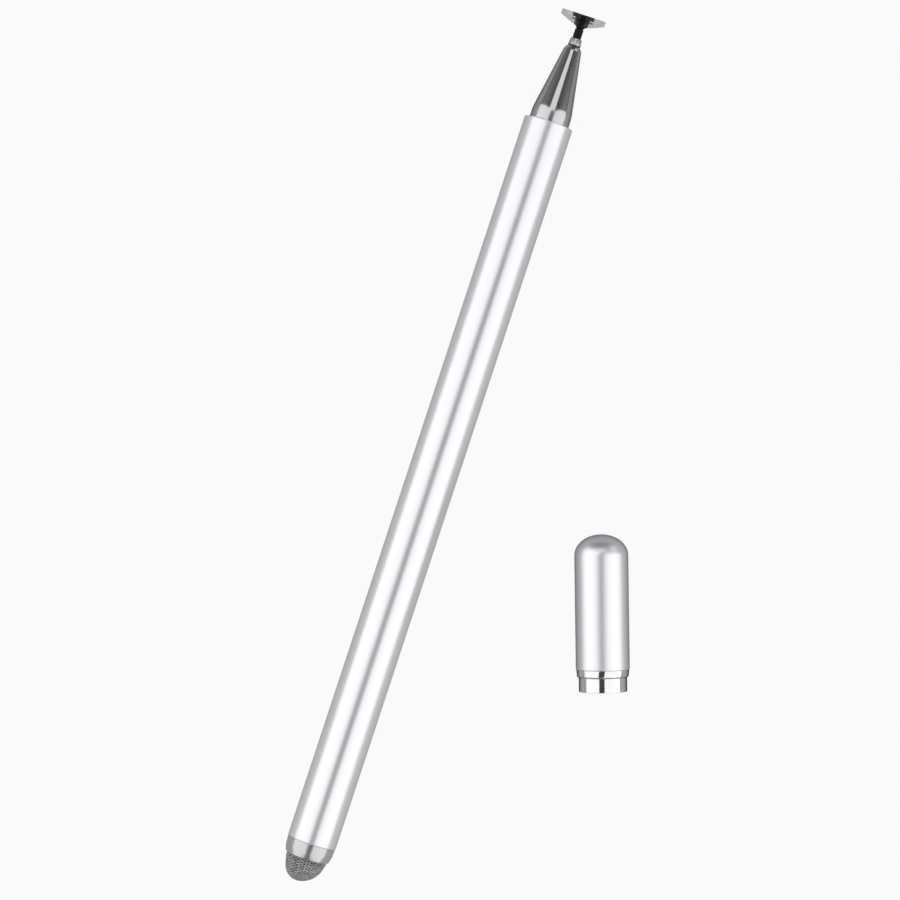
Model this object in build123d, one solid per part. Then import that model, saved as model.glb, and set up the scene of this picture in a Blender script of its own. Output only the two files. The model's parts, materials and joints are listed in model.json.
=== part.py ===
from build123d import *
import math
import os

# Stylus pen: a pivoting disc nib at the front, a fibre tip at the rear, and a loose cap beside it.
# Millimetres. The Y axis is the pen's axis, +Y points to the disc, +Z is up, and the origin is the
# middle of the barrel. The pen and the cap lie on a table at z = -BARREL_R.

# Fits, as radial gaps
BOND_GAP = 0.02
RUNNING_GAP = 0.03

# Barrel and the threaded bushes in its ends
BARREL_R = 4.0
BARREL_BORE_R = 3.2
BARREL_LENGTH = 121.0
BARREL_EDGE = 0.12
BUSH_LENGTH = 9.0
MAGNET_LENGTH = 2.0
MAGNET_SLACK = 0.05

# Nose cone, with lengths from the barrel's front end
BAND_R = 3.255
BAND_LENGTH = 1.75
SHOULDER_R = 1.45
SHOULDER_START = 12.3
CONE_TIP_R = 1.12
CONE_LENGTH = 13.05
CONE_TIP_ROUND = 0.14
NOSE_STUD_R = 2.5
NOSE_STUD_LENGTH = 10.0

# Nib sleeve and ball pin
COLLAR_REAR_R = 1.06
COLLAR_FRONT_R = 0.9
COLLAR_LENGTH = 1.15
COLLAR_EDGE = 0.08
SHANK_R = 0.75
SHANK_LENGTH = 8.5
PIN_R = 0.42
PIN_HEAD_R = 0.62
PIN_HEAD_LENGTH = 0.4
NIB_BORE_SPARE = 0.4
STEM_R = 0.69
STEM_LENGTH = 1.56
NECK_R = 0.53
NECK_FLARE = 0.1
BALL_R = 0.9
BALL_CENTRE = 16.63

# Disc and its hub
DISC_FRONT = 18.2
DISC_R = 3.65
DISC_RIM = 0.85
DISC_RIM_ROUND = 0.22
DISC_BOSS_R = 1.5
DISC_REAR = 16.46
DISC_LEAN = 8.5
HUB_FLANGE_R = 1.7
HUB_FLANGE_LENGTH = 0.64
HUB_R = 1.12
HUB_REAR = 16.28

# Rear fibre tip, with lengths from the barrel's rear end
FERRULE_R = 3.94
FERRULE_SHOULDER_R = 3.88
FERRULE_SHOULDER = 1.45
FERRULE_LENGTH = 2.5
FERRULE_MOUTH_R = 3.6
FERRULE_FLOOR = 0.8
TIP_STUD_R = 2.0
TIP_STUD_LENGTH = 6.5
TIP_STUD_NECK_R = 1.5
TIP_STUD_NOSE_R = 1.0
TIP_STUD_NOSE_END = 2.8
MESH_R = 3.42
MESH_WALL = 0.35
MESH_CROWN_R = 3.05
MESH_LENGTH = 6.55
HEM_START = 0.85
HEM_RING_LENGTH = 1.0
HEM_RING_WALL = 0.45

# Cap, with lengths from its mouth
CAP_R = 4.32
CAP_LENGTH = 25.12
CAP_DOME_HEIGHT = 3.36
CAP_CROWN_WALL = 0.5
CAP_BORE_R = 3.72
SPIGOT_R = 3.87
SPIGOT_LENGTH = 2.27
LIP_R = 4.24
LIP_LENGTH = 1.25
LIP_TAPER = 0.1
LIP_BEVEL = 0.2
TAIL_R = 3.96
TAIL_LENGTH = 3.0
CAP_EDGE = 0.1
CAP_MOUTH_X = 36.71
CAP_MOUTH_Y = -23.1
CAP_TURN = 19.0

# A Bezier quarter of an ellipse has handles of this share of its half axes
QUARTER_HANDLE = 0.5523

BARREL_END = BARREL_LENGTH / 2
LIP_END = SPIGOT_LENGTH + LIP_LENGTH

# Each unit is drawn along its own +Y and then placed. The disc lies tipped up a little on its ball.
NOSE = Pos(0, BARREL_END, 0)
DISC = NOSE * Pos(0, BALL_CENTRE, 0) * Rot(DISC_LEAN, 0, 0) * Pos(0, -BALL_CENTRE, 0)
REAR = Pos(0, -BARREL_END, 0) * Rot(0, 0, 180)
CAP = Pos(CAP_MOUTH_X, CAP_MOUTH_Y, CAP_R - BARREL_R) * Rot(0, 0, CAP_TURN)


def turned(*edges):
    """Solid of revolution about the Y axis from a closed chain of (radius, y) edges."""
    return revolve(make_face(edges), axis=Axis.Y)


def turned_outline(*points):
    """Solid of revolution about the Y axis from the corners of its (radius, y) outline."""
    return turned(*Polyline(*points, close=True).edges())


def ring(inner_r, outer_r, start, end):
    """Plain ring, or a plain rod where the inner radius is 0."""
    return turned_outline((inner_r, start), (outer_r, start), (outer_r, end), (inner_r, end))


def round_rims(solid, rim_r, amount):
    """Rounds the circular edges that have the given radius."""
    rims = solid.edges().filter_by(GeomType.CIRCLE)
    return fillet([rim for rim in rims if math.isclose(rim.radius, rim_r, abs_tol=1e-4)], amount)


def barrel_tube():
    """Straight tube, its outer edges lightly broken."""
    tube = ring(BARREL_BORE_R, BARREL_R, -BARREL_END, BARREL_END)
    return round_rims(tube, BARREL_R, BARREL_EDGE)


def front_bush():
    """Threaded insert that the nose cone's stud screws into."""
    front = -MAGNET_LENGTH - 2 * MAGNET_SLACK
    return ring(NOSE_STUD_R + BOND_GAP, BARREL_BORE_R - BOND_GAP, front - BUSH_LENGTH, front)


def front_magnet():
    """Ring magnet behind the barrel's front end, which holds the cap's steel collar."""
    front = -MAGNET_SLACK
    outer_r = BARREL_BORE_R - MAGNET_SLACK
    return ring(NOSE_STUD_R + MAGNET_SLACK, outer_r, front - MAGNET_LENGTH, front)


def rear_bush():
    """Threaded insert that the fibre tip's stud screws into."""
    return ring(TIP_STUD_R + RUNNING_GAP, BARREL_BORE_R - BOND_GAP, -BUSH_LENGTH, 0)


def nose_cone():
    """Polished cone with a base band, a blind bore for the nib and a stud for the front bush."""
    bore_r = SHANK_R + RUNNING_GAP
    bore_floor = CONE_LENGTH - SHANK_LENGTH - PIN_HEAD_LENGTH - NIB_BORE_SPARE
    cone = turned_outline(
        (0, -NOSE_STUD_LENGTH),
        (NOSE_STUD_R, -NOSE_STUD_LENGTH),
        (NOSE_STUD_R, 0),
        (BAND_R, 0),
        (BAND_R, BAND_LENGTH),
        (SHOULDER_R, SHOULDER_START),
        (CONE_TIP_R, CONE_LENGTH),
        (bore_r, CONE_LENGTH),
        (bore_r, bore_floor),
        (0, bore_floor),
    )
    return round_rims(cone, CONE_TIP_R, CONE_TIP_ROUND)


def nib_sleeve():
    """Collar that shows at the cone's tip, with the shank that pushes into the cone's bore."""
    bore_r = PIN_R + RUNNING_GAP
    collar_end = CONE_LENGTH + COLLAR_LENGTH
    shank_end = CONE_LENGTH - SHANK_LENGTH
    sleeve = turned_outline(
        (bore_r, shank_end),
        (SHANK_R, shank_end),
        (SHANK_R, CONE_LENGTH),
        (COLLAR_REAR_R, CONE_LENGTH),
        (COLLAR_FRONT_R, collar_end),
        (bore_r, collar_end),
    )
    return round_rims(sleeve, COLLAR_FRONT_R, COLLAR_EDGE)


def ball_pin():
    """Pin that turns in the sleeve: riveted head, tail, stem, short notched neck and ball."""
    tail_start = CONE_LENGTH - SHANK_LENGTH - RUNNING_GAP
    head_start = tail_start - PIN_HEAD_LENGTH
    stem_start = CONE_LENGTH + COLLAR_LENGTH + RUNNING_GAP
    stem_end = stem_start + STEM_LENGTH
    neck_angle = -math.degrees(math.acos(NECK_R / BALL_R))
    ball = CenterArc((0, BALL_CENTRE), BALL_R, neck_angle, 90 - neck_angle)
    outline = Polyline(
        ball @ 1,
        (0, head_start),
        (PIN_HEAD_R, head_start),
        (PIN_HEAD_R, tail_start),
        (PIN_R, tail_start),
        (PIN_R, stem_start),
        (STEM_R, stem_start),
        (STEM_R, stem_end),
        (NECK_R, stem_end + NECK_FLARE),
        ball @ 0,
    )
    return turned(ball, *outline.edges())


def disc_hub():
    """Flanged hub with the spherical socket that snaps over the ball."""
    socket_r = BALL_R + RUNNING_GAP
    mouth_angle = math.degrees(math.asin((HUB_REAR - BALL_CENTRE) / socket_r))
    socket = CenterArc((0, BALL_CENTRE), socket_r, mouth_angle, 90 - mouth_angle)
    flange_rear = DISC_FRONT - HUB_FLANGE_LENGTH
    outline = Polyline(
        socket @ 1,
        (0, DISC_FRONT),
        (HUB_FLANGE_R, DISC_FRONT),
        (HUB_FLANGE_R, flange_rear),
        (HUB_R, flange_rear),
        (HUB_R, HUB_REAR),
        socket @ 0,
    )
    return turned(socket, *outline.edges())


def disc_plate():
    """Clear disc with a flat front and a back that slopes up to the hub."""
    hole_r = HUB_R + BOND_GAP
    recess_r = HUB_FLANGE_R + BOND_GAP
    recess_floor = DISC_FRONT - HUB_FLANGE_LENGTH
    rim_rear = DISC_FRONT - DISC_RIM
    plate = turned_outline(
        (hole_r, DISC_REAR),
        (DISC_BOSS_R, DISC_REAR),
        (DISC_R, rim_rear),
        (DISC_R, DISC_FRONT),
        (recess_r, DISC_FRONT),
        (recess_r, recess_floor),
        (hole_r, recess_floor),
    )
    return round_rims(plate, DISC_R, DISC_RIM_ROUND)


def rear_ferrule():
    """Cup that narrows gently to a shoulder, then tapers to the mouth that grips the fibre mesh's hem."""
    cup_r = MESH_R + BOND_GAP
    neck_hole_r = TIP_STUD_NECK_R + BOND_GAP
    return turned_outline(
        (neck_hole_r, 0),
        (FERRULE_R, 0),
        (FERRULE_SHOULDER_R, FERRULE_SHOULDER),
        (FERRULE_MOUTH_R, FERRULE_LENGTH),
        (cup_r, FERRULE_LENGTH),
        (cup_r, FERRULE_FLOOR),
        (neck_hole_r, FERRULE_FLOOR),
    )


def tip_stud():
    """Threaded stud through the ferrule's floor, with a nose that anchors the soft core."""
    return turned_outline(
        (0, -TIP_STUD_LENGTH),
        (TIP_STUD_R, -TIP_STUD_LENGTH),
        (TIP_STUD_R, 0),
        (TIP_STUD_NECK_R, 0),
        (TIP_STUD_NECK_R, FERRULE_FLOOR),
        (TIP_STUD_NOSE_R, FERRULE_FLOOR),
        (TIP_STUD_NOSE_R, TIP_STUD_NOSE_END),
        (0, TIP_STUD_NOSE_END),
    )


def tip_dome(inset):
    """Solid inside the fibre tip's outer face, inset all round: a cone that runs into a round crown."""
    mouth_r = MESH_R - inset
    crown_r = MESH_CROWN_R - inset
    crown_centre = MESH_LENGTH - MESH_CROWN_R
    drop = FERRULE_LENGTH - crown_centre
    tangent_angle = math.degrees(math.atan2(drop, mouth_r) + math.acos(crown_r / math.hypot(drop, mouth_r)))
    crown = CenterArc((0, crown_centre), crown_r, tangent_angle, 90 - tangent_angle)
    sides = Polyline(crown @ 1, (0, HEM_START), (mouth_r, HEM_START), (mouth_r, FERRULE_LENGTH), crown @ 0)
    return turned(crown, *sides.edges())


def fibre_mesh():
    """Hood of conductive mesh, its hem inside the ferrule."""
    return tip_dome(0) - tip_dome(MESH_WALL)


def hem_ring():
    """Ring that presses the mesh's hem against the ferrule."""
    outer_r = MESH_R - MESH_WALL - BOND_GAP
    return ring(outer_r - HEM_RING_WALL, outer_r, HEM_START, HEM_START + HEM_RING_LENGTH)


def tip_core():
    """Soft core that fills the mesh, stepped around the hem ring and bored for the stud's nose."""
    ring_r = MESH_R - MESH_WALL - BOND_GAP - HEM_RING_WALL - BOND_GAP
    step = ring(ring_r, MESH_R, HEM_START, HEM_START + HEM_RING_LENGTH + BOND_GAP)
    nose_hole = ring(0, TIP_STUD_NOSE_R + BOND_GAP, HEM_START, TIP_STUD_NOSE_END + BOND_GAP)
    return tip_dome(MESH_WALL + BOND_GAP) - step - nose_hole


def domed_rod(radius, start, dome_height):
    """Rod along the cap's axis with a dome of half an ellipse at its crown."""
    base = CAP_LENGTH - CAP_DOME_HEIGHT
    crown = base + dome_height
    dome = Bezier(
        (radius, base),
        (radius, base + QUARTER_HANDLE * dome_height),
        (QUARTER_HANDLE * radius, crown),
        (0, crown),
    )
    sides = Polyline(dome @ 1, (0, start), (radius, start), dome @ 0)
    return turned(dome, *sides.edges())


def cap_shell():
    """Closed shell with a rounded crown, counterbored for the collar's tail."""
    bore = domed_rod(CAP_BORE_R, 0, CAP_DOME_HEIGHT - CAP_CROWN_WALL)
    seat = ring(0, TAIL_R + BOND_GAP, 0, LIP_END + TAIL_LENGTH)
    shell = domed_rod(CAP_R, LIP_END, CAP_DOME_HEIGHT) - bore - seat
    mouth_rims = shell.edges().filter_by(GeomType.CIRCLE).group_by(Axis.Y)[0]
    return chamfer(mouth_rims.sort_by(SortBy.RADIUS)[-1], CAP_EDGE)


def cap_collar():
    """Plated steel collar: the spigot that meets the barrel, a tapered lip and a tail in the shell."""
    tail_end = LIP_END + TAIL_LENGTH
    lip_front_r = LIP_R - LIP_TAPER
    return turned_outline(
        (CAP_BORE_R, 0),
        (SPIGOT_R, 0),
        (SPIGOT_R, SPIGOT_LENGTH),
        (lip_front_r - LIP_BEVEL, SPIGOT_LENGTH),
        (lip_front_r, SPIGOT_LENGTH + LIP_BEVEL),
        (LIP_R, LIP_END),
        (TAIL_R, LIP_END),
        (TAIL_R, tail_end),
        (CAP_BORE_R, tail_end),
    )


pieces = {
    "barrel_tube": barrel_tube(),
    "front_bush": NOSE * front_bush(),
    "front_magnet": NOSE * front_magnet(),
    "rear_bush": REAR * rear_bush(),
    "nose_cone": NOSE * nose_cone(),
    "nib_sleeve": NOSE * nib_sleeve(),
    "ball_pin": NOSE * ball_pin(),
    "disc_hub": DISC * disc_hub(),
    "disc_plate": DISC * disc_plate(),
    "rear_ferrule": REAR * rear_ferrule(),
    "tip_stud": REAR * tip_stud(),
    "hem_ring": REAR * hem_ring(),
    "tip_core": REAR * tip_core(),
    "fibre_mesh": REAR * fibre_mesh(),
    "cap_shell": CAP * cap_shell(),
    "cap_collar": CAP * cap_collar(),
}

os.makedirs("parts", exist_ok=True)
for node, solid in pieces.items():
    export_step(solid, f"parts/{node}.step")
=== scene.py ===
import json
import math

import bpy
import numpy as np
from mathutils import Matrix, Vector

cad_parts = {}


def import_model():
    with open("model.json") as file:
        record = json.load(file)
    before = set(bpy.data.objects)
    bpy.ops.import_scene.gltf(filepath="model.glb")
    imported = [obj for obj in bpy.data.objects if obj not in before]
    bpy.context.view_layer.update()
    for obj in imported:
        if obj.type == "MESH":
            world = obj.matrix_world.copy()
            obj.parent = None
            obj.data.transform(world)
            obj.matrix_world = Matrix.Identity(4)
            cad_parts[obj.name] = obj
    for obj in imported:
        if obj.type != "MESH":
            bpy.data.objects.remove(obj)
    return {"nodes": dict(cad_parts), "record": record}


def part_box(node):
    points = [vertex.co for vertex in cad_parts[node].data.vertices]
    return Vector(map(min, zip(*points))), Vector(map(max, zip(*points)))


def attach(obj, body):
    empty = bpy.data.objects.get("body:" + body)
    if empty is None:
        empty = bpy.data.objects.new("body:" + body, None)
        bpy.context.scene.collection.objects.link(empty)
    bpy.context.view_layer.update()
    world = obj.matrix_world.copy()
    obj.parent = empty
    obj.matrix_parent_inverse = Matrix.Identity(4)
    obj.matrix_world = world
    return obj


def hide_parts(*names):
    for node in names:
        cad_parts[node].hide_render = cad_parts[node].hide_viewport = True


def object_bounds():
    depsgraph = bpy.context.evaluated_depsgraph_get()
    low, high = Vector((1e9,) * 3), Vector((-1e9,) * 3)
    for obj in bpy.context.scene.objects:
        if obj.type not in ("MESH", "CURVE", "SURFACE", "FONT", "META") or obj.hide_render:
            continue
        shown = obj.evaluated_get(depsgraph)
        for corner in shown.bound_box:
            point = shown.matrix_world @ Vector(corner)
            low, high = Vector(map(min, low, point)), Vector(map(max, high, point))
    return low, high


# Looks of a stylus pen that lies beside its cap: turned metal pieces with rounded edges, a clear disc nib
# and a knitted fibre tip. Outlines are (radius, y) pairs in millimetres along each unit's own axis, as they
# would be turned on a lathe, and the meshes are metres in the CAD model's frame.
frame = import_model()
cad_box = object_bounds()
record = frame["record"]

MM = 0.001


def reach(node, axis):
    """Lowest and highest coordinate of a CAD node along one axis, in millimetres."""
    low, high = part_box(node)
    return low["xyz".index(axis)] / MM, high["xyz".index(axis)] / MM


def node_radius(node):
    """Radius of a CAD node that is centred on the pen's axis, from its reach across."""
    return reach(node, "x")[1]


def node_front(node):
    """Place along the pen of a CAD node's front end."""
    return reach(node, "y")[1]


def node_rear(node):
    """Place along the pen of a CAD node's rear end."""
    return reach(node, "y")[0]


def lying_radius(node):
    """Radius of a CAD node that lies level, whichever way it points."""
    low, high = reach(node, "z")
    return (high - low) / 2


def named(entries, name):
    """Entry of a list in the record that has the given name."""
    return next(entry for entry in entries if entry["name"] == name)


# Gaps and overlaps between pieces
BOND_GAP = 0.02
STEM_GAP = 0.03
STUD_GAP = 0.03
MOULDED_IN = 0.01

# Roundings of turned edges
KEEN_EDGE = 0.05
EASED_EDGE = 0.1
SOFT_EDGE = 0.2

# Barrel, and the bush in its rear end
BARREL_R = node_radius("barrel_tube")
BARREL_END = node_front("barrel_tube")
BARREL_BORE_R = 3.2
BARREL_EDGE = 0.12
BORE_EDGE = 0.08
BUSH_R = node_radius("rear_bush")
BUSH_LENGTH = node_front("rear_bush") + BARREL_END

# Nose cone, with lengths from the barrel's front end
BAND_R = node_radius("nose_cone")
BAND_LENGTH = 1.75
BAND_BLEND = 9.0
SHOULDER_R = 1.45
SHOULDER_START = 12.3
SHOULDER_BLEND = 1.2
CONE_TIP_R = 1.12
CONE_LENGTH = node_front("nose_cone") - BARREL_END
NOSE_STUD_R = 2.5
NOSE_STUD_LENGTH = 10.0
NIB_BORE_R = 0.78
NIB_BORE_FLOOR = 3.75

# Nib sleeve and ball pin, with lengths from the barrel's front end
COLLAR_R = node_radius("nib_sleeve")
COLLAR_FRONT_R = 0.9
COLLAR_END = node_front("nib_sleeve") - BARREL_END
GROOVE_WIDTH = 0.24
GROOVE_R = 0.95
SHANK_R = 0.75
SHANK_END = node_rear("nib_sleeve") - BARREL_END
SLEEVE_BORE_R = 0.45
PIN_R = 0.42
PIN_HEAD_R = 0.62
PIN_HEAD_END = node_rear("ball_pin") - BARREL_END
PIN_HEAD_LENGTH = 0.4
STEM_START = COLLAR_END + STEM_GAP
STEM_R = 0.69
STEM_LENGTH = 1.56
NECK_R = 0.53
NECK_FLARE = 0.1
BALL_R = node_radius("ball_pin")

# Disc and hub, with lengths from the barrel's front end. The disc tilts as far to one side of straight as to
# the other, so the middle of the tilt's range says how far it leans at rest.
TILT = named(record["behaviour"]["joints"], "disc_tilt")
BALL_CENTRE = TILT["pos_m"][1] / MM - BARREL_END
DISC_LEAN = -math.radians(sum(TILT["range_deg"]) / 2)
DISC_R = node_radius("disc_plate")
DISC_FRONT = 18.2
DISC_REAR = 16.46
DISC_BOSS_R = 1.5
DISC_RIM = 0.85
HUB_FLANGE_R = node_radius("disc_hub")
HUB_FLANGE_LENGTH = 0.64
HUB_REAR = 16.28
HUB_R = 1.12
SOCKET_R = 0.93

# Rear tip, with lengths from the barrel's rear end
FERRULE_R = node_radius("rear_ferrule")
FERRULE_SHOULDER_R = 3.88
FERRULE_SHOULDER = 1.45
FERRULE_BLEND = 3.0
FERRULE_LENGTH = -node_rear("rear_ferrule") - BARREL_END
FERRULE_MOUTH_R = 3.6
FERRULE_FLOOR = 0.8
STUD_R = node_radius("tip_stud")
STUD_LENGTH = node_front("tip_stud") + BARREL_END
STUD_LEAD = 0.35
STUD_NECK_R = 1.5
STUD_NOSE_R = 1.0
STUD_NOSE_END = 2.8
HEM_RING_END = -node_rear("hem_ring") - BARREL_END

# Thread of the rear stud and bush, whose crest and root are each flat over a share of the pitch
THREAD_PITCH = 0.5
THREAD_DEPTH = 0.2
THREAD_FLAT = 0.1875

# Knitted hood: its sides run straight from the ferrule's mouth into a round crown
HOOD_R = node_radius("fibre_mesh")
HOOD_LENGTH = -node_rear("fibre_mesh") - BARREL_END
HOOD_WALL = 0.35
CROWN_R = 3.05
CROWN_CENTRE = HOOD_LENGTH - CROWN_R
MOUTH_DROP = FERRULE_LENGTH - CROWN_CENTRE
MOUTH_REACH = math.hypot(MOUTH_DROP, HOOD_R)
TANGENT_ANGLE = math.atan2(MOUTH_DROP, HOOD_R) + math.acos(CROWN_R / MOUTH_REACH)
SIDE_LENGTH = math.sqrt(MOUTH_REACH ** 2 - CROWN_R ** 2)
HOOD_RISE = SIDE_LENGTH + CROWN_R * (math.pi / 2 - TANGENT_ANGLE)
HOOD_LEAN = 0.15

# Yarn: its loops bend outwards and dip between their bends, and past the ferrule's mouth it stands proud
YARN_R = 0.16
YARN_SIDES = 8
YARN_DIP = 0.075
YARN_PROUD = 0.07
PROUD_START = 0.15
PROUD_RUN = 0.5
LOOP_RISE = 0.40
LOOP_SWAY = 0.12
LOOP_SAMPLES = 20
STITCHES = 18
FIRST_COURSE = -0.3
COURSE_SPACING = 0.46

# Where the hood narrows, its stitches are drawn in: their loops are lower and the rounds lie closer together
LOOSE_STITCH = 0.95
DRAWN_STITCH = 0.45
DRAWN_RISE = 0.07
DRAWN_SPACING = 0.29

# Cap, with lengths from its mouth
CAP_MOUTH = named(record["mounts"], "cap_mouth")
CAP_R = lying_radius("cap_shell")
CAP_BORE_R = CAP_MOUTH["dims"]["r_mm"]
CAP_DOME_BASE = CAP_MOUTH["dims"]["length_mm"]
CAP_DOME_HEIGHT = 3.36
CAP_CROWN_WALL = 0.5
CAP_EDGE = 0.12
SPIGOT_R = 3.87
SPIGOT_LENGTH = 2.27
LIP_R = lying_radius("cap_collar")
LIP_LENGTH = 1.25
LIP_END = SPIGOT_LENGTH + LIP_LENGTH
LIP_TAPER = 0.1
LIP_BEVEL = 0.2
TAIL_R = 3.96
TAIL_LENGTH = 3.0

# Mesh fineness
SEGMENTS = 128
CORNER_STEPS = 6
DOME_STEPS = 24
THREAD_STEPS = 10
SHARP_ANGLE = math.radians(40)
NEGLIGIBLE = 1e-6

# Where each unit stands in the CAD model's frame
NOSE = Matrix.Translation((0, BARREL_END * MM, 0))
BALL = Matrix.Translation((0, BALL_CENTRE * MM, 0))
DISC = NOSE @ BALL @ Matrix.Rotation(DISC_LEAN, 4, "X") @ BALL.inverted()
REAR = Matrix.Translation((0, -BARREL_END * MM, 0)) @ Matrix.Rotation(math.pi, 4, "Z")


def cap_place():
    """The cap's own frame: its mouth is the origin, and its crown lies along +Y."""
    out_of_mouth = Vector(CAP_MOUTH["axis"])
    turn = math.atan2(out_of_mouth.x, -out_of_mouth.y)
    return Matrix.Translation(CAP_MOUTH["pos_m"]) @ Matrix.Rotation(turn, 4, "Z")


CAP = cap_place()


# Outlines

def rounded(*corners):
    """Outline whose corners are rounded: each is (radius, y), or (radius, y, rounding) for a round one."""
    outline = []
    for k, corner in enumerate(corners):
        here = Vector(corner[:2])
        if len(corner) == 2:
            outline.append(tuple(here))
            continue
        rounding = corner[2]
        back = (Vector(corners[k - 1][:2]) - here).normalized()
        ahead = (Vector(corners[(k + 1) % len(corners)][:2]) - here).normalized()
        half = back.angle(ahead) / 2
        centre = here + (back + ahead).normalized() * rounding / math.sin(half)
        start = (here + back * rounding / math.tan(half) - centre).normalized()
        end = (here + ahead * rounding / math.tan(half) - centre).normalized()
        for step in range(CORNER_STEPS + 1):
            outline.append(tuple(centre + rounding * start.slerp(end, step / CORNER_STEPS)))
    return outline


def ellipse(centre_y, radius, height, start, end):
    """Points on an ellipse about a point of the axis, from one angle to another in degrees."""
    angles = [math.radians(start + (end - start) * k / DOME_STEPS) for k in range(DOME_STEPS + 1)]
    return [(max(radius * math.cos(a), 0.0), centre_y + height * math.sin(a)) for a in angles]


def arc(centre_y, radius, start, end):
    """Points on a circle about a point of the axis, from one angle to another in degrees."""
    return ellipse(centre_y, radius, radius, start, end)


def dome(base, radius, height):
    """Quarter of an ellipse from a rod's side to its crown."""
    return ellipse(base, radius, height, 0, 90)


def threaded(radius, start, end):
    """Close points along a threaded wall, for the thread to be cut in."""
    count = round(abs(end - start) / THREAD_PITCH * THREAD_STEPS)
    return [(radius, start + (end - start) * k / count) for k in range(count + 1)]


def thread_cut(radius, depth, start, end):
    """Function that moves a wall of the given radius inwards along a helix, fading out at both ends.

    A negative depth moves it outwards, for an inner thread.
    """
    low, high = sorted((start, end))

    def cut(r, y, angle):
        if abs(r - radius) > NEGLIGIBLE or not low < y < high:
            return r
        phase = (y / THREAD_PITCH + angle / (2 * math.pi)) % 1.0
        from_crest = abs(2 * phase - 1)
        flank = min(max((from_crest - THREAD_FLAT) / (1 - 2 * THREAD_FLAT), 0.0), 1.0)
        fade = min(1.0, (y - low) / THREAD_PITCH, (high - y) / THREAD_PITCH)
        return r - depth * flank * fade

    return cut


# Meshes

def new_piece(name, vertices, faces, place):
    """Smooth-shaded mesh object from vertices in metres, set in its place."""
    mesh = bpy.data.meshes.new(name)
    mesh.from_pydata(vertices, [], faces)
    mesh.transform(place)
    mesh.validate()
    mesh.shade_smooth()
    mesh.set_sharp_from_angle(angle=SHARP_ANGLE)
    piece = bpy.data.objects.new(name, mesh)
    bpy.context.scene.collection.objects.link(piece)
    return piece


def lathe(name, outline, place, cut=None):
    """Solid of revolution about its own Y axis from a closed outline that runs anticlockwise.

    A point on the axis is one vertex, so the faces that meet there are triangles.
    """
    turns = [2 * math.pi * k / SEGMENTS for k in range(SEGMENTS)]
    vertices = []
    rings = []
    for radius, y in outline:
        first = len(vertices)
        if radius < NEGLIGIBLE:
            rings.append([first] * SEGMENTS)
            vertices.append((0, y * MM, 0))
            continue
        rings.append(list(range(first, first + SEGMENTS)))
        for turn in turns:
            r = (cut(radius, y, turn) if cut else radius) * MM
            vertices.append((r * math.cos(turn), y * MM, -r * math.sin(turn)))
    faces = []
    for ring, following in zip(rings, rings[1:] + rings[:1]):
        for k in range(SEGMENTS):
            other = (k + 1) % SEGMENTS
            face = tuple(dict.fromkeys((ring[k], ring[other], following[other], following[k])))
            if len(face) > 2:
                faces.append(face)
    piece = new_piece(name, vertices, faces, place)
    weighted = piece.modifiers.new("flat_faces", "WEIGHTED_NORMAL")
    weighted.keep_sharp = True
    return piece


def dress(piece, body, slot, *nodes):
    """Finishes a piece: its material, the body that it rides on, and the CAD nodes that it stands for."""
    piece.data.materials.append(MATERIALS[slot])
    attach(piece, body)
    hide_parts(*nodes)


# Materials

# Values that a noise texture mostly stays between
NOISE_LOW = 0.3
NOISE_HIGH = 0.7

# Factors on the coordinates of a grain: above 1 it is packed closer that way, and below 1 drawn out
EVEN = (1, 1, 1)
DRAWN_OUT = (1, 0.25, 1)
TURNING_LINES = (0.15, 4, 0.15)


def new_material(name, settings):
    """Node material whose shader has the given fixed values."""
    material = bpy.data.materials.new(name)
    material.use_nodes = True
    shader = material.node_tree.nodes["Principled BSDF"]
    for socket, value in settings.items():
        shader.inputs[socket].default_value = value
    return material, shader


def noise(material, scale, stretch=EVEN, detail=3.0):
    """Noise in the object's own space, with features of about 1 / scale metres."""
    tree = material.node_tree
    place = tree.nodes.new("ShaderNodeTexCoord")
    mapping = tree.nodes.new("ShaderNodeMapping")
    mapping.inputs["Scale"].default_value = stretch
    texture = tree.nodes.new("ShaderNodeTexNoise")
    texture.inputs["Scale"].default_value = scale
    texture.inputs["Detail"].default_value = detail
    tree.links.new(place.outputs["Object"], mapping.inputs["Vector"])
    tree.links.new(mapping.outputs["Vector"], texture.inputs["Vector"])
    return texture.outputs["Fac"]


def vary(material, factor, socket, low, high):
    """Runs a number of the shader between two values."""
    tree = material.node_tree
    span = tree.nodes.new("ShaderNodeMapRange")
    span.inputs["From Min"].default_value = NOISE_LOW
    span.inputs["From Max"].default_value = NOISE_HIGH
    span.inputs["To Min"].default_value = low
    span.inputs["To Max"].default_value = high
    tree.links.new(factor, span.inputs["Value"])
    tree.links.new(span.outputs["Result"], socket)


def tint(material, factor, socket, first, second):
    """Runs a colour of the shader between two colours."""
    tree = material.node_tree
    ramp = tree.nodes.new("ShaderNodeValToRGB")
    ramp.color_ramp.elements[0].position = NOISE_LOW
    ramp.color_ramp.elements[0].color = (*first, 1)
    ramp.color_ramp.elements[1].position = NOISE_HIGH
    ramp.color_ramp.elements[1].color = (*second, 1)
    tree.links.new(factor, ramp.inputs["Fac"])
    tree.links.new(ramp.outputs["Color"], socket)


def relief(material, factor, shader, depth):
    """Fine bumps of the given depth in metres."""
    tree = material.node_tree
    bump = tree.nodes.new("ShaderNodeBump")
    bump.inputs["Distance"].default_value = depth
    tree.links.new(factor, bump.inputs["Height"])
    tree.links.new(bump.outputs["Normal"], shader.inputs["Normal"])


def grained(name, settings, colours, roughness, grain, depth, stretch=EVEN):
    """Material whose colour, roughness and bumps all follow one grain, the first two between two values."""
    material, shader = new_material(name, settings)
    fine = noise(material, grain, stretch)
    tint(material, fine, shader.inputs["Base Color"], *colours)
    vary(material, fine, shader.inputs["Roughness"], *roughness)
    relief(material, fine, shader, depth)
    return material


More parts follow.
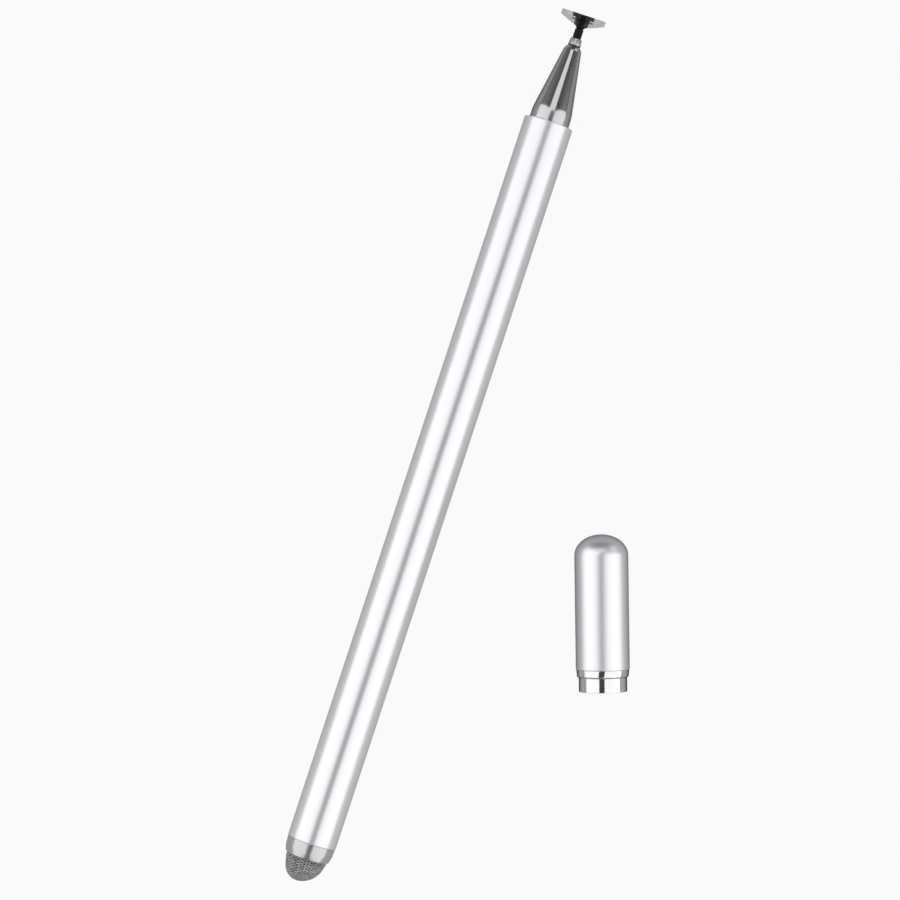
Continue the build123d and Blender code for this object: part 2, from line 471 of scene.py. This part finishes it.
def metal(name, colour, roughness, grain, depth, stretch=EVEN, edge=1.0, metallic=1.0, mottle=0.05):
    """Bare or plated metal with a fine grain.

    The edge is how bright it stays at grazing angles. The mottle is the share by which its colour and
    roughness vary.
    """
    settings = {"Metallic": metallic, "Specular Tint": (edge, edge, edge, 1)}
    darker = tuple((1 - mottle) * channel for channel in colour)
    span = ((1 - mottle) * roughness, (1 + mottle) * roughness)
    return grained(name, settings, (darker, colour), span, grain, depth, stretch)


def along_pen(material):
    """Place along the pen, in metres."""
    tree = material.node_tree
    place = tree.nodes.new("ShaderNodeTexCoord")
    parts = tree.nodes.new("ShaderNodeSeparateXYZ")
    tree.links.new(place.outputs["Object"], parts.inputs["Vector"])
    return parts.outputs["Y"]


def painted_shade_ring(material, start, end, dark):
    """Painted shade: darkens a material's colour between two places along the pen, in millimetres."""
    tree = material.node_tree
    colour = tree.nodes["Principled BSDF"].inputs["Base Color"]
    inside = tree.nodes.new("ShaderNodeMath")
    inside.operation = "COMPARE"
    inside.inputs[1].default_value = (start + end) / 2 * MM
    inside.inputs[2].default_value = (end - start) / 2 * MM
    mix = tree.nodes.new("ShaderNodeMix")
    mix.data_type = "RGBA"
    mix.inputs["B"].default_value = (dark, dark, dark, 1)
    tree.links.new(along_pen(material), inside.inputs[0])
    tree.links.new(inside.outputs["Value"], mix.inputs["Factor"])
    tree.links.new(colour.links[0].from_socket, mix.inputs["A"])
    tree.links.new(mix.outputs["Result"], colour)


def duller_below(material, y, fade, gain):
    """Makes a material rougher by a gain below a place along the pen, in millimetres, with a fade."""
    tree = material.node_tree
    roughness = tree.nodes["Principled BSDF"].inputs["Roughness"]
    step = tree.nodes.new("ShaderNodeMapRange")
    step.inputs["From Min"].default_value = (y - fade) * MM
    step.inputs["From Max"].default_value = (y + fade) * MM
    step.inputs["To Min"].default_value = gain
    step.inputs["To Max"].default_value = 1.0
    product = tree.nodes.new("ShaderNodeMath")
    product.operation = "MULTIPLY"
    tree.links.new(along_pen(material), step.inputs["Value"])
    tree.links.new(roughness.links[0].from_socket, product.inputs[0])
    tree.links.new(step.outputs["Result"], product.inputs[1])
    tree.links.new(product.outputs["Value"], roughness)


def anodised_barrel():
    """Satin silver anodised aluminium, its grain drawn out along the barrel."""
    return metal(
        "anodised_barrel", colour=(0.81, 0.81, 0.835), roughness=0.30, grain=9000, depth=3e-7,
        stretch=DRAWN_OUT, edge=0.8, metallic=0.75, mottle=0.015,
    )


def anodised_cap():
    """Silver anodised aluminium with an even grain."""
    return metal(
        "anodised_cap", colour=(0.80, 0.805, 0.82), roughness=0.39, grain=7000, depth=3e-7,
        edge=0.1, mottle=0.015,
    )


def polished_cone():
    """Polished metal with faint turning lines, satin on its base band."""
    material = metal(
        "polished_cone", colour=(0.53, 0.53, 0.535), roughness=0.13, grain=5000, depth=6e-7,
        stretch=TURNING_LINES, edge=0.35,
    )
    duller_below(material, BARREL_END + BAND_LENGTH, fade=0.6, gain=1.8)
    return material


def plated_steel():
    """Mirror plating."""
    return metal(
        "plated_steel", colour=(0.73, 0.73, 0.74), roughness=0.05, grain=1500, depth=6e-7, edge=0.05,
    )


def nib_steel():
    """Turned steel, with painted shade darkening the groove behind the collar."""
    material = metal(
        "nib_steel", colour=(0.54, 0.54, 0.545), roughness=0.3, grain=6000, depth=1e-6,
        stretch=TURNING_LINES, edge=0.6,
    )
    groove_end = BARREL_END + CONE_LENGTH
    # Painted shade: this dark band stands in for the shade that falls in the groove behind the collar.
    painted_shade_ring(material, groove_end - GROOVE_WIDTH, groove_end, dark=0.03)
    return material


def ferrule_metal():
    """Satin turned metal, duller than the cone."""
    return metal(
        "ferrule_metal", colour=(0.54, 0.54, 0.545), roughness=0.22, grain=5000, depth=1e-6,
        stretch=(0.15, 3, 0.15), metallic=0.85,
    )


def brass():
    """Turned brass."""
    return metal(
        "brass", colour=(0.72, 0.53, 0.24), roughness=0.28, grain=5000, depth=1.5e-6, stretch=TURNING_LINES,
    )


def magnet():
    """Nickel plated magnet."""
    return metal("magnet", colour=(0.55, 0.54, 0.52), roughness=0.3, grain=2500, depth=2e-6)


def black_steel():
    """Black oxide on turned steel."""
    return grained(
        "black_steel", {"Specular IOR Level": 0.1},
        colours=((0.006, 0.006, 0.0065), (0.013, 0.013, 0.014)), roughness=(0.26, 0.36),
        grain=6000, depth=1e-6, stretch=(0.2, 3, 0.2),
    )


def black_plastic():
    """Moulded black plastic."""
    return grained(
        "black_plastic", {"Specular IOR Level": 0.15},
        colours=((0.006, 0.006, 0.0065), (0.014, 0.014, 0.015)), roughness=(0.3, 0.42),
        grain=4000, depth=2e-6,
    )


def clear_plastic():
    """Clear grey plastic that bends light little, so that the hub shows through, under a glossy skin."""
    return grained(
        "clear_plastic",
        {"IOR": 1.06, "Transmission Weight": 1.0, "Coat Weight": 0.4, "Coat Roughness": 0.04},
        colours=((0.36, 0.365, 0.37), (0.54, 0.545, 0.55)), roughness=(0.03, 0.08),
        grain=700, depth=4e-6,
    )


def soft_core():
    """Matte dark silicone."""
    return grained(
        "soft_core", {"IOR": 1.43},
        colours=((0.05, 0.05, 0.05), (0.09, 0.09, 0.09)), roughness=(0.6, 0.75),
        grain=5000, depth=4e-6,
    )


def fibre_fabric():
    """Grey metallised yarn: lighter and darker lengths, with fine filaments."""
    settings = {"Metallic": 0.35, "Sheen Weight": 0.2, "Sheen Roughness": 0.5}
    material, shader = new_material("fibre_fabric", settings)
    lengths = noise(material, scale=1600, detail=1.0)
    filaments = noise(material, scale=14000, stretch=(1, 0.4, 1))
    tint(material, lengths, shader.inputs["Base Color"], first=(0.20, 0.20, 0.20), second=(0.42, 0.42, 0.42))
    vary(material, filaments, shader.inputs["Roughness"], low=0.42, high=0.62)
    relief(material, filaments, shader, depth=8e-6)
    return material


MATERIALS = {
    make.__name__: make()
    for make in (
        anodised_barrel, anodised_cap, polished_cone, plated_steel, nib_steel, ferrule_metal, brass, magnet,
        black_steel, black_plastic, clear_plastic, fibre_fabric, soft_core,
    )
}


# Barrel and nose

def barrel():
    """Straight tube with rounded rims."""
    outline = rounded(
        (BARREL_BORE_R, -BARREL_END, BORE_EDGE),
        (BARREL_R, -BARREL_END, BARREL_EDGE),
        (BARREL_R, BARREL_END, BARREL_EDGE),
        (BARREL_BORE_R, BARREL_END, BORE_EDGE),
    )
    dress(lathe("barrel", outline, Matrix()), "barrel", "anodised_barrel", "barrel_tube")


def nose_cone():
    """Cone that runs into its base band, with a bore for the nib and a stud that is inside the barrel."""
    tip_end = CONE_LENGTH - GROOVE_WIDTH
    outline = rounded(
        (0, -NOSE_STUD_LENGTH),
        (NOSE_STUD_R, -NOSE_STUD_LENGTH, SOFT_EDGE),
        (NOSE_STUD_R, 0),
        (BAND_R, 0, EASED_EDGE),
        (BAND_R, BAND_LENGTH, BAND_BLEND),
        (SHOULDER_R, SHOULDER_START, SHOULDER_BLEND),
        (CONE_TIP_R, tip_end, EASED_EDGE),
        (NIB_BORE_R, tip_end, KEEN_EDGE),
        (NIB_BORE_R, NIB_BORE_FLOOR),
        (0, NIB_BORE_FLOOR),
    )
    dress(lathe("nose_cone_polished", outline, NOSE), "barrel", "polished_cone", "nose_cone")


def nib():
    """Collar that stands off the cone's tip by a groove, with the shank that sits in the cone."""
    groove_start = CONE_LENGTH - GROOVE_WIDTH
    outline = rounded(
        (SLEEVE_BORE_R, SHANK_END),
        (SHANK_R, SHANK_END, EASED_EDGE),
        (SHANK_R, groove_start),
        (GROOVE_R, groove_start),
        (GROOVE_R, CONE_LENGTH),
        (COLLAR_R, CONE_LENGTH, KEEN_EDGE),
        (COLLAR_FRONT_R, COLLAR_END, EASED_EDGE),
        (SLEEVE_BORE_R, COLLAR_END, KEEN_EDGE),
    )
    dress(lathe("nib_collar", outline, NOSE), "nib", "nib_steel", "nib_sleeve")


def pin():
    """Black pin: riveted head, tail, stem, short notched neck and ball."""
    head_front = PIN_HEAD_END + PIN_HEAD_LENGTH
    stem_end = STEM_START + STEM_LENGTH
    neck_angle = -math.degrees(math.acos(NECK_R / BALL_R))
    outline = rounded(
        (0, PIN_HEAD_END),
        (PIN_HEAD_R, PIN_HEAD_END, EASED_EDGE),
        (PIN_HEAD_R, head_front, KEEN_EDGE),
        (PIN_R, head_front),
        (PIN_R, STEM_START),
        (STEM_R, STEM_START, KEEN_EDGE),
        (STEM_R, stem_end, EASED_EDGE),
        (NECK_R, stem_end + NECK_FLARE),
        *arc(BALL_CENTRE, BALL_R, neck_angle, 90),
    )
    dress(lathe("ball_pin_black", outline, NOSE), "nib_pin", "black_steel", "ball_pin")


def hub():
    """Flanged hub with its socket over the ball."""
    mouth_angle = math.degrees(math.asin((HUB_REAR - BALL_CENTRE) / SOCKET_R))
    flange_rear = DISC_FRONT - HUB_FLANGE_LENGTH
    outline = rounded(
        *arc(BALL_CENTRE, SOCKET_R, 90, mouth_angle),
        (HUB_R, HUB_REAR, EASED_EDGE),
        (HUB_R, flange_rear),
        (HUB_FLANGE_R, flange_rear, KEEN_EDGE),
        (HUB_FLANGE_R, DISC_FRONT, EASED_EDGE),
        (0, DISC_FRONT),
    )
    dress(lathe("hub_black", outline, DISC), "disc", "black_plastic", "disc_hub")


def disc():
    """Clear disc whose back slopes up to the hub, moulded around it with no air between."""
    hole_r = HUB_R - MOULDED_IN
    recess_r = HUB_FLANGE_R - MOULDED_IN
    recess_floor = DISC_FRONT - HUB_FLANGE_LENGTH + MOULDED_IN
    rim_rear = DISC_FRONT - DISC_RIM
    outline = rounded(
        (hole_r, DISC_REAR),
        (DISC_BOSS_R, DISC_REAR, EASED_EDGE),
        (DISC_R, rim_rear, SOFT_EDGE),
        (DISC_R, DISC_FRONT, SOFT_EDGE),
        (recess_r, DISC_FRONT),
        (recess_r, recess_floor),
        (hole_r, recess_floor),
    )
    dress(lathe("disc_clear", outline, DISC), "disc", "clear_plastic", "disc_plate")


# Rear fibre tip

def bush():
    """Brass insert in the barrel's rear end, with its inner thread."""
    bore_r = STUD_R + STUD_GAP
    outline = [*threaded(bore_r, 0, -BUSH_LENGTH), (BUSH_R, -BUSH_LENGTH), (BUSH_R, 0)]
    thread = thread_cut(bore_r, -THREAD_DEPTH, -BUSH_LENGTH, 0)
    dress(lathe("rear_bush_threaded", outline, REAR, thread), "barrel", "brass", "rear_bush")


def ferrule():
    """Satin cup that narrows to the mouth around the knitted hood."""
    cup_r = HOOD_R + BOND_GAP
    hole_r = STUD_NECK_R + BOND_GAP
    outline = rounded(
        (hole_r, 0),
        (FERRULE_R, 0, KEEN_EDGE),
        (FERRULE_SHOULDER_R, FERRULE_SHOULDER, FERRULE_BLEND),
        (FERRULE_MOUTH_R, FERRULE_LENGTH, KEEN_EDGE),
        (cup_r, FERRULE_LENGTH, KEEN_EDGE),
        (cup_r, FERRULE_FLOOR),
        (hole_r, FERRULE_FLOOR),
    )
    dress(lathe("ferrule", outline, REAR), "fibre_tip", "ferrule_metal", "rear_ferrule")


def stud():
    """Threaded stud that screws into the rear bush."""
    thread_start = STUD_LEAD - STUD_LENGTH
    outline = [
        (0, -STUD_LENGTH),
        (STUD_R - STUD_LEAD, -STUD_LENGTH),
        *threaded(STUD_R, thread_start, 0),
        (STUD_NECK_R, 0),
        (STUD_NECK_R, FERRULE_FLOOR),
        (STUD_NOSE_R, FERRULE_FLOOR),
        (STUD_NOSE_R, STUD_NOSE_END),
        (0, STUD_NOSE_END),
    ]
    thread = thread_cut(STUD_R, THREAD_DEPTH, thread_start, 0)
    dress(lathe("tip_stud_threaded", outline, REAR, thread), "fibre_tip", "brass", "tip_stud")


def hood_face(distance):
    """Radius, y and outward direction of the hood's face, by the distance up it from the ferrule's mouth.

    A negative distance is inside the ferrule, where the hood is a straight tube.
    """
    angle = np.where(distance < 0, 0.0, TANGENT_ANGLE + np.maximum(distance - SIDE_LENGTH, 0.0) / CROWN_R)
    along = np.clip(distance - SIDE_LENGTH, -SIDE_LENGTH, 0.0)
    radius = CROWN_R * np.cos(angle) - along * math.sin(TANGENT_ANGLE)
    y = CROWN_CENTRE + CROWN_R * np.sin(angle) + along * math.cos(TANGENT_ANGLE)
    radius = np.where(distance < 0, HOOD_R, radius)
    y = np.where(distance < 0, FERRULE_LENGTH + distance, y)
    return radius, y, np.cos(angle), np.sin(angle)


def by_looseness(distance, drawn, loose):
    """Value between one for drawn-in stitches and one for loose ones, by a round's distance up the face."""
    radius = float(hood_face(np.array(distance))[0])
    stitch = 2 * math.pi * radius / STITCHES
    share = (stitch - DRAWN_STITCH) / (LOOSE_STITCH - DRAWN_STITCH)
    return drawn + (loose - drawn) * min(max(share, 0.0), 1.0)


def courses():
    """Distances of the knitted rounds up the hood's face, the last of them closing its pole."""
    pole = HOOD_RISE - YARN_R
    distance = FIRST_COURSE
    while distance < pole - DRAWN_SPACING / 2:
        yield distance
        distance += by_looseness(distance, DRAWN_SPACING, COURSE_SPACING)
    yield pole


def course_yarn(distance):
    """Centre line and outward directions of one knitted round, whose loops lie with their bends outwards."""
    phase = np.linspace(0, 2 * math.pi * STITCHES, LOOP_SAMPLES * STITCHES, endpoint=False)
    turn = (phase + 2 * math.pi * LOOP_SWAY * np.sin(2 * phase)) / STITCHES
    up_face = distance + by_looseness(distance, DRAWN_RISE, LOOP_RISE) * np.cos(phase)
    r, y, out_r, out_y = hood_face(up_face)
    proud = YARN_PROUD * np.clip((up_face - PROUD_START) / PROUD_RUN, 0.0, 1.0)
    inset = YARN_R + YARN_DIP * (1 - np.cos(2 * phase)) - proud
    r = r - inset * out_r
    y = y - inset * out_y
    line = np.stack((r * np.cos(turn), y, -r * np.sin(turn)), axis=1)
    outward = np.stack((out_r * np.cos(turn), out_y, -out_r * np.sin(turn)), axis=1)
    return line, outward


def yarn_tube(line, outward):
    """Vertices of a closed tube along a yarn's centre line, one ring of sides for each point."""
    ahead = np.roll(line, -1, axis=0) - np.roll(line, 1, axis=0)
    ahead /= np.linalg.norm(ahead, axis=1, keepdims=True)
    across = np.cross(ahead, outward)
    across /= np.linalg.norm(across, axis=1, keepdims=True)
    up = np.cross(across, ahead)
    angles = 2 * math.pi * np.arange(YARN_SIDES) / YARN_SIDES
    upwards = np.cos(angles)[None, :, None] * up[:, None, :]
    sideways = np.sin(angles)[None, :, None] * across[:, None, :]
    return (line[:, None, :] + YARN_R * (upwards + sideways)).reshape(-1, 3)


def tube_faces(first, count):
    """Quads of a closed tube whose rings start at a given vertex."""
    faces = []
    for k in range(count):
        here = first + k * YARN_SIDES
        following = first + (k + 1) % count * YARN_SIDES
        for side in range(YARN_SIDES):
            other = (side + 1) % YARN_SIDES
            faces.append((here + side, here + other, following + other, following + side))
    return faces


def pushed_over(piece):
    """Leans a soft piece's crown, so that it reaches further on the side away from the cap."""
    for vertex in piece.data.vertices:
        rise = (-vertex.co.y / MM - BARREL_END - FERRULE_LENGTH) / (HOOD_LENGTH - FERRULE_LENGTH)
        vertex.co.y += HOOD_LEAN * vertex.co.x * max(rise, 0.0)
    return piece


def knitted_hood():
    """Knitted hood of metallised yarn, whose stitches are drawn in towards its pole."""
    vertices = []
    faces = []
    for distance in courses():
        line, outward = course_yarn(distance)
        faces += tube_faces(len(vertices), len(line))
        vertices += (yarn_tube(line, outward) * MM).tolist()
    hood = pushed_over(new_piece("knitted_hood", vertices, faces, REAR))
    dress(hood, "fibre_tip", "fibre_fabric", "fibre_mesh")


def core():
    """Soft core that shows darkly between the stitches, bored for the stud's nose."""
    hole_r = STUD_NOSE_R + BOND_GAP
    hole_end = STUD_NOSE_END + BOND_GAP
    inset = HOOD_WALL + BOND_GAP
    start = HEM_RING_END + BOND_GAP - FERRULE_LENGTH
    r, y, out_r, out_y = hood_face(np.linspace(start, HOOD_RISE, 2 * DOME_STEPS))
    face = list(zip(r - inset * out_r, y - inset * out_y))
    outline = [(hole_r, face[0][1]), *face[:-1], (0, face[-1][1]), (0, hole_end), (hole_r, hole_end)]
    pad = pushed_over(lathe("tip_core_pad", outline, REAR))
    dress(pad, "fibre_tip", "soft_core", "tip_core")


# Cap

def cap_shell():
    """Shell with a domed crown, open at the mouth for the collar's tail."""
    seat_r = TAIL_R + BOND_GAP
    seat_end = LIP_END + TAIL_LENGTH + BOND_GAP
    inner = dome(CAP_DOME_BASE, CAP_BORE_R, CAP_DOME_HEIGHT - CAP_CROWN_WALL)
    outline = rounded(
        (seat_r, LIP_END),
        (CAP_R, LIP_END, CAP_EDGE),
        *dome(CAP_DOME_BASE, CAP_R, CAP_DOME_HEIGHT),
        *reversed(inner),
        (CAP_BORE_R, seat_end),
        (seat_r, seat_end),
    )
    dress(lathe("cap_shell_domed", outline, CAP), "cap", "anodised_cap", "cap_shell")


def cap_collar():
    """Plated collar: spigot, tapered lip and the tail inside the shell."""
    tail_end = LIP_END + TAIL_LENGTH
    lip_front_r = LIP_R - LIP_TAPER
    outline = rounded(
        (CAP_BORE_R, 0, KEEN_EDGE),
        (SPIGOT_R, 0, KEEN_EDGE),
        (SPIGOT_R, SPIGOT_LENGTH, KEEN_EDGE),
        (lip_front_r - LIP_BEVEL, SPIGOT_LENGTH, KEEN_EDGE),
        (lip_front_r, SPIGOT_LENGTH + LIP_BEVEL, EASED_EDGE),
        (LIP_R, LIP_END, KEEN_EDGE),
        (TAIL_R, LIP_END),
        (TAIL_R, tail_end),
        (CAP_BORE_R, tail_end),
    )
    dress(lathe("cap_collar_plated", outline, CAP), "cap", "plated_steel", "cap_collar")


def hidden_nodes():
    """Materials of the CAD pieces that stay inside the barrel and the ferrule."""
    for node, slot in (("front_bush", "brass"), ("front_magnet", "magnet"), ("hem_ring", "nib_steel")):
        slots = frame["nodes"][node].data.materials
        slots.clear()
        slots.append(MATERIALS[slot])


# Studio, in metres

ALONG_PEN = Vector((0, 1, 0))
UPWARD = Vector((0, 0, 1))

# Floor: its own grey, and how far each kind of ray sees it as white
FLOOR_Z = cad_box[0].z
FLOOR_HALF = 4.0
FLOOR_GREY = 0.5
FLOOR_WHITENESS = {"Is Camera Ray": 0.93, "Is Glossy Ray": 0.1, "Is Transmission Ray": 0.85}

# Surroundings: strength low down and overhead, and the upward parts of direction that it changes between
LOW_STRENGTH = 0.2
OVERHEAD_STRENGTH = 0.08
LOW_DIRECTION = 0.3
OVERHEAD_DIRECTION = 0.95

# Long softboxes beside the pen, which slope from a high inner edge to a low outer one, shifted to the right
BOX_INNER_X = 0.080
BOX_INNER_Z = 0.368
BOX_OUTER_X = 0.360
BOX_OUTER_Z = 0.018
BOX_SHIFT = 0.011
BOX_REAR = -0.360
LEFT_BOX_FRONT = 0.172
RIGHT_BOX_FRONT = 0.182
BOX_RADIANCE = 1.24

# Small softbox beyond the nose
NOSE_BOX = Vector((-0.025, 0.200, 0.250))
NOSE_BOX_TARGET = Vector((0, 0.068, 0))
NOSE_BOX_WIDTH = 0.16
NOSE_BOX_LENGTH = 0.13
NOSE_BOX_RADIANCE = 1.12

# Dim softbox for the cap's crown
CROWN_BOX = Vector((0.32, 0.53, 0.22))
CROWN_BOX_TARGET = Vector((0.034, 0, 0))
CROWN_BOX_WIDTH = 0.34
CROWN_BOX_LENGTH = 0.36
CROWN_BOX_RADIANCE = 0.85

# Camera, whose lens and sensor are in millimetres
CAMERA_PLACE = (0.00138, 0.0059, 0.480)
CAMERA_TURN = math.radians(18.24)
CAMERA_LENS = 120
CAMERA_SENSOR = 36


def floor():
    """Pale floor that keeps the object's shadow."""
    square = ((-1, -1), (1, -1), (1, 1), (-1, 1))
    corners = [(FLOOR_HALF * x, FLOOR_HALF * y, FLOOR_Z) for x, y in square]
    mesh = bpy.data.meshes.new("floor")
    mesh.from_pydata(corners, [], [(0, 1, 2, 3)])
    plane = bpy.data.objects.new("floor", mesh)
    bpy.context.scene.collection.objects.link(plane)
    mesh.materials.append(floor_material())


def floor_material():
    """Grey diffuse floor mixed with white for camera, glossy and transmission rays."""
    material = bpy.data.materials.new("floor")
    material.use_nodes = True
    tree = material.node_tree
    tree.nodes.clear()
    diffuse = tree.nodes.new("ShaderNodeBsdfDiffuse")
    diffuse.inputs["Color"].default_value = (FLOOR_GREY, FLOOR_GREY, FLOOR_GREY, 1)
    white = tree.nodes.new("ShaderNodeEmission")
    path = tree.nodes.new("ShaderNodeLightPath")
    mix = tree.nodes.new("ShaderNodeMixShader")
    output = tree.nodes.new("ShaderNodeOutputMaterial")
    share = None
    for ray, amount in FLOOR_WHITENESS.items():
        add = tree.nodes.new("ShaderNodeMath")
        add.operation = "MULTIPLY_ADD"
        add.inputs[1].default_value = amount
        add.inputs[2].default_value = 0.0
        tree.links.new(path.outputs[ray], add.inputs[0])
        if share:
            tree.links.new(share, add.inputs[2])
        share = add.outputs["Value"]
    tree.links.new(share, mix.inputs["Fac"])
    tree.links.new(diffuse.outputs["BSDF"], mix.inputs[1])
    tree.links.new(white.outputs["Emission"], mix.inputs[2])
    tree.links.new(mix.outputs["Shader"], output.inputs["Surface"])
    return material


def softbox(name, centre, back, along, width, length, radiance):
    """Rectangular lamp that the camera doesn't see, given by the ways that its back and its length point.

    Its power is the radiance times pi and its area.
    """
    lamp = bpy.data.lights.new(name, "AREA")
    lamp.shape = "RECTANGLE"
    lamp.size = width
    lamp.size_y = length
    lamp.energy = radiance * math.pi * width * length
    light = bpy.data.objects.new(name, lamp)
    bpy.context.scene.collection.objects.link(light)
    away = back.normalized()
    side = along.cross(away).normalized()
    turn = Matrix((side, away.cross(side), away)).transposed().to_4x4()
    light.matrix_world = Matrix.Translation(centre) @ turn
    light.visible_camera = False


def side_box(name, side, front):
    """Long softbox on one side of the pen, -1 for the left and 1 for the right."""
    run = BOX_OUTER_X - BOX_INNER_X
    drop = BOX_INNER_Z - BOX_OUTER_Z
    x = BOX_SHIFT + side * (BOX_INNER_X + BOX_OUTER_X) / 2
    centre = Vector((x, (BOX_REAR + front) / 2, (BOX_INNER_Z + BOX_OUTER_Z) / 2))
    back = Vector((side * drop, 0, run))
    softbox(name, centre, back, ALONG_PEN, math.hypot(run, drop), front - BOX_REAR, BOX_RADIANCE)


def lamps():
    """Long softboxes on both sides of the pen, and smaller ones for its nose and the cap's crown."""
    side_box("softbox_left", -1, LEFT_BOX_FRONT)
    side_box("softbox_right", 1, RIGHT_BOX_FRONT)
    softbox(
        "softbox_nose", NOSE_BOX, NOSE_BOX - NOSE_BOX_TARGET, ALONG_PEN,
        NOSE_BOX_WIDTH, NOSE_BOX_LENGTH, NOSE_BOX_RADIANCE,
    )
    softbox(
        "softbox_crown", CROWN_BOX, CROWN_BOX - CROWN_BOX_TARGET, UPWARD,
        CROWN_BOX_WIDTH, CROWN_BOX_LENGTH, CROWN_BOX_RADIANCE,
    )


def world():
    """Dim studio: dark overhead and a little lighter lower down."""
    surroundings = bpy.data.worlds.new("studio")
    bpy.context.scene.world = surroundings
    surroundings.use_nodes = True
    tree = surroundings.node_tree
    background = tree.nodes["Background"]
    direction = tree.nodes.new("ShaderNodeTexCoord")
    parts = tree.nodes.new("ShaderNodeSeparateXYZ")
    level = tree.nodes.new("ShaderNodeMapRange")
    level.inputs["From Min"].default_value = LOW_DIRECTION
    level.inputs["From Max"].default_value = OVERHEAD_DIRECTION
    level.inputs["To Min"].default_value = LOW_STRENGTH
    level.inputs["To Max"].default_value = OVERHEAD_STRENGTH
    background.inputs["Color"].default_value = (1, 1, 1, 1)
    tree.links.new(direction.outputs["Generated"], parts.inputs["Vector"])
    tree.links.new(parts.outputs["Z"], level.inputs["Value"])
    tree.links.new(level.outputs["Result"], background.inputs["Strength"])


def camera():
    """Straight down on the pen, turned so that it leans as it does in the photograph."""
    lens = bpy.data.cameras.new("camera")
    lens.lens = CAMERA_LENS
    lens.sensor_width = CAMERA_SENSOR
    eye = bpy.data.objects.new("camera", lens)
    bpy.context.scene.collection.objects.link(eye)
    eye.location = CAMERA_PLACE
    eye.rotation_euler = (0, 0, CAMERA_TURN)
    bpy.context.scene.camera = eye


for make in (
    camera, world, lamps, floor,
    barrel, nose_cone, nib, pin, hub, disc,
    bush, ferrule, stud, knitted_hood, core,
    cap_shell, cap_collar, hidden_nodes,
):
    make()

bpy.context.scene.view_settings.view_transform = "Standard"
